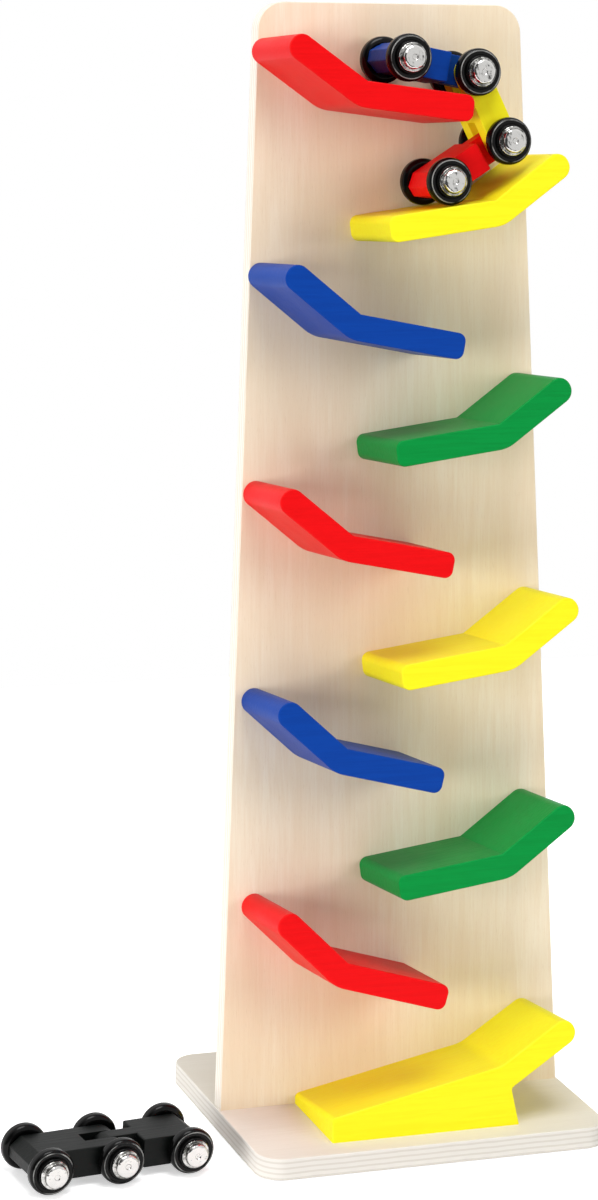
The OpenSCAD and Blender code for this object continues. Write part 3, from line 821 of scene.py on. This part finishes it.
# A millimetre below the base at the front, and trimmed to it like the board's foot
cut_z = -RAMP_D * FOOT_RISE - 1
exit_corners = [
    (*EXIT_BEND, BEND_R), (*lip, EXIT_LIP_R), (lip[0], cut_z, EXIT_FOOT_R),
    (EXIT_BEND[0] + EXIT_FOOT_OUT, cut_z, EXIT_FOOT_R), (*notch, EXIT_NOTCH_R),
    (*(top - exit_steep_up * RAMP_T), END_R), (*top, END_R),
]
exit_ramp = Shape()
sawn(exit_ramp, rounded(exit_corners), -RAMP_D, 0, soft0=RAMP_SOFT)
exit_ramp.points = trimmed_foot(exit_ramp)
slot, cad = "yellow_paint", "exit_ramp_yellow"
piece(exit_ramp, "Exit-ramp", "root", LACQUER["yellow"], [ON_BOARD], GRAIN_X, cad)

# %% [markdown]
# ## Links
#
# A link is a short bar. One end may be a nose with slopes above and below, a tongue, or
# a fork. A fork is sawn from the full width: the slot takes out the middle, and the ears
# keep the round end. The surface is built in the same order: the full outline outside
# the slot, the short outline inside it, the bottom of the slot, and the ears' inner faces.

# %% Ends of the links
# A full half height would leave nothing straight between the two corners
ROUND_R = HALF_H * 0.98
NOSE_BACK = NOSE_SLOPE_L - NOSE_L
NOSE = [(-NOSE_L, -HALF_H + NOSE_DROP, LINK_EDGE_R), (NOSE_BACK, -HALF_H, LINK_EDGE_R)]
NOSE_TOP = [(NOSE_BACK, HALF_H, LINK_EDGE_R), (-NOSE_L, HALF_H - NOSE_DROP, LINK_EDGE_R)]
RIGHT_END = [(AXLE_GAP + HALF_H, -HALF_H, ROUND_R), (AXLE_GAP + HALF_H, HALF_H, ROUND_R)]
LEFT_END = [(-HALF_H, HALF_H, ROUND_R), (-HALF_H, -HALF_H, ROUND_R)]
print(f"A link is {LINK_W} x {LINK_H} mm, with bores {2 * BORE:.2f} mm wide")


# %% Tongue
def tongue_link():
    """A bar with a nose, and a narrower round tongue that comes out of its shoulder."""
    made = Shape()
    end = AXLE_GAP - SHOULDER_L
    bar = rounded([*NOSE, (end, -HALF_H, LINK_EDGE_R), (end, HALF_H, LINK_EDGE_R), *NOSE_TOP])
    sawn(made, bar, -LINK_W / 2, LINK_W / 2, LINK_SOFT, LINK_SOFT, [(0, 0, BORE)])
    hole_wall(made, 0, 0, BORE, -LINK_W / 2, LINK_W / 2)
    # The tongue starts where the bar's end begins to round off, so that no two of their
    # faces lie on each other
    root = end - LINK_EDGE_R
    root_r = LINK_EDGE_R / 2
    tongue = rounded([(root, -HALF_H, root_r), *RIGHT_END, (root, HALF_H, root_r)], 14)
    bore = (AXLE_GAP, 0, BORE)
    sawn(made, tongue, -TONGUE_W / 2, TONGUE_W / 2, TONGUE_SOFT, TONGUE_SOFT, [bore])
    hole_wall(made, *bore, -TONGUE_W / 2, TONGUE_W / 2)
    return made


TONGUED = tongue_link()
print("Link with a tongue:", TONGUED.count, "points")


# %% Fork
def with_point(outline, x):
    """The outline with a point put in wherever one of its straight sides crosses x."""
    following = np.roll(outline, -1, 0)
    crossed = np.flatnonzero((outline[:, 0] - x) * (following[:, 0] - x) < 0)
    here, there = outline[crossed], following[crossed]
    share = ((x - here[:, 0]) / (there[:, 0] - here[:, 0]))[:, None]
    return np.insert(outline, crossed + 1, here + share * (there - here), axis=0)


NEAR_ZERO = 1e-6


def web(shape, outline, left, right):
    """The outside of the wood between the slots: each run of the outline from x = left
    to x = right, carried across the slot's width."""
    inside = (outline[:, 0] >= left - NEAR_ZERO) & (outline[:, 0] <= right + NEAR_ZERO)
    for start in np.flatnonzero(inside & ~np.roll(inside, 1)):
        count = np.argmin(np.roll(inside, -start))
        run = np.roll(outline, -start, 0)[:count]
        across_slot = [np.insert(run[:, :2], 1, y, axis=1) for y in (-SLOT_W / 2, SLOT_W / 2)]
        out = np.insert(run[:, 2:], 1, 0, axis=1)
        marks = np.tile((1.0, 0, 0), (2, count, 1))
        shape.rings(np.stack(across_slot), np.stack((out, out)), marks, closed=False)


def forked_link(corners, forks):
    """A bar with forks. Each fork is (axle x, 1 or -1 for the end that its slot opens to)."""
    made = Shape()
    outline = rounded(corners, 14)
    slots = [(axle - side * (HALF_H + SLOT_ROOM), side, axle) for axle, side in forks]
    for bottom, side, axle in slots:
        outline = with_point(outline, bottom)
    axles = [(0, 0, BORE), (AXLE_GAP, 0, BORE)]
    for way in (-1, 1):
        near, far = way * SLOT_W / 2, way * LINK_W / 2
        soft = (LINK_SOFT, 0) if way < 0 else (0, LINK_SOFT)
        sawn(made, outline, min(near, far), max(near, far), *soft, axles, (way < 0, way > 0))
        for bottom, side, axle in slots:
            ear = outline[(outline[:, 0] - bottom) * side >= -NEAR_ZERO][:, :2]
            flat_face(made, [ear, circle(axle, 0, BORE)], near, -way)
        for hole in axles:
            hole_wall(made, *hole, near, far)
    left = max((bottom for bottom, side, axle in slots if side < 0), default=-NOSE_L)
    right = max(bottom for bottom, side, axle in slots if side > 0)
    web(made, outline, left, right)
    for bottom, side, axle in slots:
        wall = [(bottom, y, z) for y in (-SLOT_W / 2, SLOT_W / 2) for z in (-HALF_H, HALF_H)]
        made.add(wall, np.tile((side, 0, 0), (4, 1)), (1, 0, 0), [(0, 1, 3, 2)])
    return made


FORKED = forked_link([*NOSE, *RIGHT_END, *NOSE_TOP], [(AXLE_GAP, 1)])
DOUBLE = forked_link([*RIGHT_END, *LEFT_END], [(AXLE_GAP, 1), (0, -1)])
print("Link with one fork:", FORKED.count, "points, and with two:", DOUBLE.count)

# %% The five links
for name, shape, body, colour, place in (
    ("Train-rear-link", TONGUED, "train_rear", "blue", from_train_axle(0, 1)),
    ("Train-middle-link", DOUBLE, "train_middle", "yellow", from_train_axle(1, 2)),
    ("Train-front-link", TONGUED, "train_front", "red", from_train_axle(3, 2)),
    ("Car-fork-link", FORKED, "car_back", "black", at_floor_axle(0)),
    ("Car-tongue-link", TONGUED, "car_front", "black", at_floor_axle(2) @ turn(180, "Z")),
):
    cad = name.lower().replace("-", "_")
    piece(shape, name, body, LACQUER[colour], [place], GRAIN_X, cad)

# %% [markdown]
# ## Wheels and hub caps
#
# Both are turned. A wheel has a well rounded tread, a thin bead at the edge of its outer
# face, a ring groove and a raised hub, so its face shows as rings. A grey highlight is
# painted in patches on the bead. A hub cap is a thin flange with a raised middle and a small
# dimple, pressed from sheet and plated. Dark reflections are painted in patches on its
# flange and round its raised middle. The outlines are the sections that a lathe follows,
# with a small radius at each corner to hold a highlight.


# %% Sections for the lathe
def wheel_section():
    """Distance from the axle, way out from the inner face, and radius of each corner."""
    hub_r = CAP_D / 2 + HUB_MARGIN
    tyre_in = hub_r + RING_W
    hub_face = WHEEL_W + HUB_RISE
    groove = WHEEL_W - RING_DEPTH
    face = WHEEL_W - BEAD_H
    bead_in = BEAD_R - BEAD_W
    # The tread's round edge runs on at a slope to the foot of the bead, just under its face
    bead_foot = face - 0.2
    shoulder = face - BEAD_SLOPE_H
    return rounded([
        (BORE, 0, 0.1), (INNER_HUB_R, 0, 0.2), (INNER_HUB_R, INNER_RING_DEPTH, 0.2),
        (tyre_in, INNER_RING_DEPTH, 0.2), (tyre_in, 0, 0.2),
        (WHEEL_R, 0, TYRE_EDGE_R), (WHEEL_R, shoulder, TYRE_EDGE_R - 0.2),
        (BEAD_R, bead_foot, 0.1), (BEAD_R, WHEEL_W, 0.3),
        (bead_in, WHEEL_W, 0.3), (bead_in, face, 0.1),
        (tyre_in, face, 0.2), (tyre_in, groove, 0.15), (hub_r, groove, 0.15),
        (hub_r, hub_face, 0.5), (BORE, hub_face, 0.1),
    ], 7)


def cap_section():
    """The same for a hub cap, with its way out measured from the wheel's hub face."""
    top = CAP_OUT - HUB_RISE
    dimple = top - DIMPLE_DEPTH
    flange = SEAT_GAP + FLANGE_T
    grip_end = SEAT_GAP + GRIP_L
    grip_r = AXLE_D / 2 + GRIP_GAP
    # The middle is left open by a hair, because a corner on the axis has no radius
    axis_r = 0.02
    return rounded([
        (grip_r, SEAT_GAP, 0.05), (CAP_D / 2, SEAT_GAP, 0.15), (CAP_D / 2, flange, 0.75),
        (CAP_TOP_D / 2, flange, 0.5), (CAP_TOP_D / 2, top, 1.6),
        (DIMPLE_R, top, 0.3), (DIMPLE_FLOOR_R, dimple, 0.3), (axis_r, dimple, 0.01),
        (axis_r, grip_end, 0.01), (grip_r, grip_end, 0.05),
    ], 7)


# The marks on turned pieces say where light is painted: a grey highlight on a wheel's bead, and
# dark reflections on a cap's flange and round its raised middle.
WHEEL = lathe(wheel_section(), painted_light_from=BEAD_R - BEAD_W, painted_light_y=WHEEL_W - BEAD_H / 2)
CAP = lathe(cap_section(), painted_light_from=CAP_TOP_D / 2 - 0.3)
print("Wheel:", WHEEL.count, "points. Hub cap:", CAP.count, "points")


# %% Wheels and hub caps
def to_side(side):
    """Turns a piece drawn outwards along +y to face that side of its car."""
    return Matrix.Identity(4) if side > 0 else turn(180, "X")


def running_gear(vehicle, spots, carriers):
    """The wheels and hub caps at each axle of a train or car."""
    title = vehicle.capitalize()
    beside = LINK_W / 2 + WHEEL_PLAY
    hub = beside + WHEEL_W + HUB_RISE
    for k, (spot, carrier) in enumerate(zip(spots, carriers), 1):
        for label, side in (("outer", -1), ("inner", 1)):
            cad = f"{vehicle}_wheel_{k}_{label}"
            name = f"{title}-wheel-{k}-{label}"
            place = spot @ move(0, side * beside, 0) @ to_side(side)
            piece(WHEEL, name, cad, TYRE, [place], GRAIN_X, cad)
        places = [spot @ move(0, side * hub, 0) @ to_side(side) for side in (-1, 1)]
        cad = f"{vehicle}_caps_{k}"
        piece(CAP, f"{title}-hub-caps-{k}", carrier, NICKEL, places, GRAIN_X, cad)


running_gear(
    "train", [at_train_axle(k) for k in range(4)],
    ["train_rear", "train_middle", "train_middle", "train_front"],
)
running_gear("car", [at_floor_axle(k) for k in range(3)], ["car_back", "car_back", "car_front"])

# %% [markdown]
# ## Axles and screws
#
# These are plain turned steel and mostly hidden, so the CAD pieces are shown as they
# are, with a steel finish.

# %% Axles and screws
steel_nodes = [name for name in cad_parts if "axle" in name or "screws" in name]
for name in steel_nodes:
    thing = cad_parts[name]
    thing.data.materials.clear()
    thing.data.materials.append(STEEL)
print("Steel:", ", ".join(steel_nodes))

# %% [markdown]
# ## Studio
#
# The picture is a bright product shot: a white floor that runs into a white background,
# and soft light from all round. Four large lamps add to it. The one at the front right
# gives the soft shadows to the left of each ramp. The one at the left fills them and
# lights the ends of the ramps, one above is for the tops, and one is for the back.
#
# A metal cap shows what it mirrors. The room is white behind, bright at the front right
# and above, and dark at the front left, and that gives the caps a light face with dark
# arcs round it, which the dark reflections painted on each cap's flange add to. The dark
# part of the room is only there for mirrored rays, so the plain light on wood and paint
# stays even.


# %% Floor
SEEN_GLOW, MIRRORED_GLOW = 0.5, 0.28


def white_floor():
    """Matt white. Seen or mirrored, it is a little brighter than lit, so only the
    deepest contact shadows stay visible on it."""
    made, tree, shader = finish("White floor", Base_Color=(0.9, 0.9, 0.9, 1), Roughness=0.9)
    shader.inputs["Specular IOR Level"].default_value = 0.0
    shader.inputs["Emission Color"].default_value = (1, 1, 1, 1)
    seen = node(tree, "ShaderNodeLightPath")
    glow = times(tree, seen.outputs["Is Camera Ray"], SEEN_GLOW)
    for ray in ("Is Glossy Ray", "Is Transmission Ray"):
        mirrored = times(tree, seen.outputs[ray], MIRRORED_GLOW)
        glow = node(
            tree, "ShaderNodeMath", {"operation": "MAXIMUM"}, _0=glow, _1=mirrored
        ).outputs[0]
    tree.links.new(glow, shader.inputs["Emission Strength"])
    return made


# In metres. It lies a little under the base, so that the two never share a plane
FLOOR_REACH, FLOOR_DROP = 0.9, 0.0003
floor_mesh = bpy.data.meshes.new("Floor")
floor_corners = [(FLOOR_REACH * x, FLOOR_REACH * y, -FLOOR_DROP) for x, y in CORNER_SIGNS]
floor_mesh.from_pydata(floor_corners, [], [(0, 1, 2, 3)])
floor_mesh.materials.append(white_floor())
floor = bpy.data.objects.new("Floor", floor_mesh)
bpy.context.scene.collection.objects.link(floor)


# %% Lamps
def soft_light(name, spot, aim, width, height, watts, mirrored=True):
    """A rectangular lamp at a spot, turned to the point that it is aimed at. It can be
    kept out of what the metal mirrors."""
    data = bpy.data.lights.new(name, "AREA")
    data.shape = "RECTANGLE"
    data.size = width
    data.size_y = height
    data.energy = watts
    lamp = bpy.data.objects.new(name, data)
    lamp.location = spot
    lamp.rotation_euler = (Vector(aim) - Vector(spot)).to_track_quat("-Z", "Y").to_euler()
    lamp.visible_glossy = mirrored
    bpy.context.scene.collection.objects.link(lamp)
    print(f"{name}: {watts} W, {width} x {height} m")


soft_light("Right", (1.6, -1.95, 1.1), (0, 0, 0.3), 1.1, 1.1, 20, mirrored=False)
soft_light("Top", (-0.1, -0.6, 2.6), (0, 0, 0.2), 1.2, 1.2, 33)
soft_light("Left", (-2.3, -0.95, 0.42), (0, 0, 0.3), 1.6, 0.8, 42, mirrored=False)
soft_light("Back", (-0.6, 2.4, 1.3), (0, 0, 0.3), 1.4, 1.4, 22, mirrored=False)

# %% Room
MATT_LIGHT, DARK_SIDE, BRIGHT_SIDE = 0.42, 0.05, 0.85


def grey(level):
    """A grey of that level, as a colour."""
    return (level, level, level, 1)


world = bpy.data.worlds.new("White room")
bpy.context.scene.world = world
world.use_nodes = True
tree = world.node_tree
seen = node(tree, "ShaderNodeLightPath")
way = node(tree, "ShaderNodeTexCoord")
parts = node(tree, "ShaderNodeSeparateXYZ", Vector=way.outputs["Generated"])
high_and_right = node(
    tree, "ShaderNodeMath", {"operation": "MULTIPLY_ADD"},
    _0=parts.outputs[0], _1=0.8, _2=times(tree, parts.outputs[2], 0.6),
)
front = between(tree, times(tree, parts.outputs[1], -1.0), -0.1, 0.3)
lit = between(tree, high_and_right.outputs[0], -0.1, 0.4)
room_front = mix(tree, lit, grey(DARK_SIDE), grey(BRIGHT_SIDE))
mirrored_room = mix(tree, front, grey(1), room_front)
shown = mix(tree, seen.outputs["Is Glossy Ray"], grey(MATT_LIGHT), mirrored_room)
for ray in ("Is Camera Ray", "Is Transmission Ray"):
    shown = mix(tree, seen.outputs[ray], shown, grey(1))
tree.links.new(shown, tree.nodes["Background"].inputs["Color"])
print("Room light for matt surfaces:", MATT_LIGHT)

# %% [markdown]
# ## Camera
#
# The camera was worked out from the photograph's straight edges: its place, its
# direction, a small roll, and a long lens. Its axes are the level right and up, turned
# by the roll. The place is in metres, and the lens and sensor are in millimetres.

# %% Camera
CAMERA_PLACE = Vector((-0.7155, -1.7081, 0.7390))
LENS, SENSOR_H = 106.53, 36
yaw, pitch, roll = math.radians(20.852), math.radians(-13.654), math.radians(2.5155)
level_ahead = Vector((math.sin(yaw), math.cos(yaw), 0))
level_right = Vector((math.cos(yaw), -math.sin(yaw), 0))
ahead = math.cos(pitch) * level_ahead + Vector((0, 0, math.sin(pitch)))
level_up = level_right.cross(ahead)
right = math.cos(roll) * level_right + math.sin(roll) * level_up
up = math.cos(roll) * level_up - math.sin(roll) * level_right
camera_data = bpy.data.cameras.new("Camera")
camera_data.sensor_fit = "VERTICAL"
camera_data.sensor_height = SENSOR_H
camera_data.lens = LENS
camera_data.clip_start = 0.1
camera_data.clip_end = 30
camera = bpy.data.objects.new("Camera", camera_data)
facing_ahead = Matrix((right, up, -ahead)).transposed().to_4x4()
camera.matrix_world = Matrix.Translation(CAMERA_PLACE) @ facing_ahead
bpy.context.scene.collection.objects.link(camera)
bpy.context.scene.camera = camera
bpy.context.scene.view_settings.view_transform = "Standard"
print(f"Lens {LENS} mm, {CAMERA_PLACE.length:.2f} m from the base")
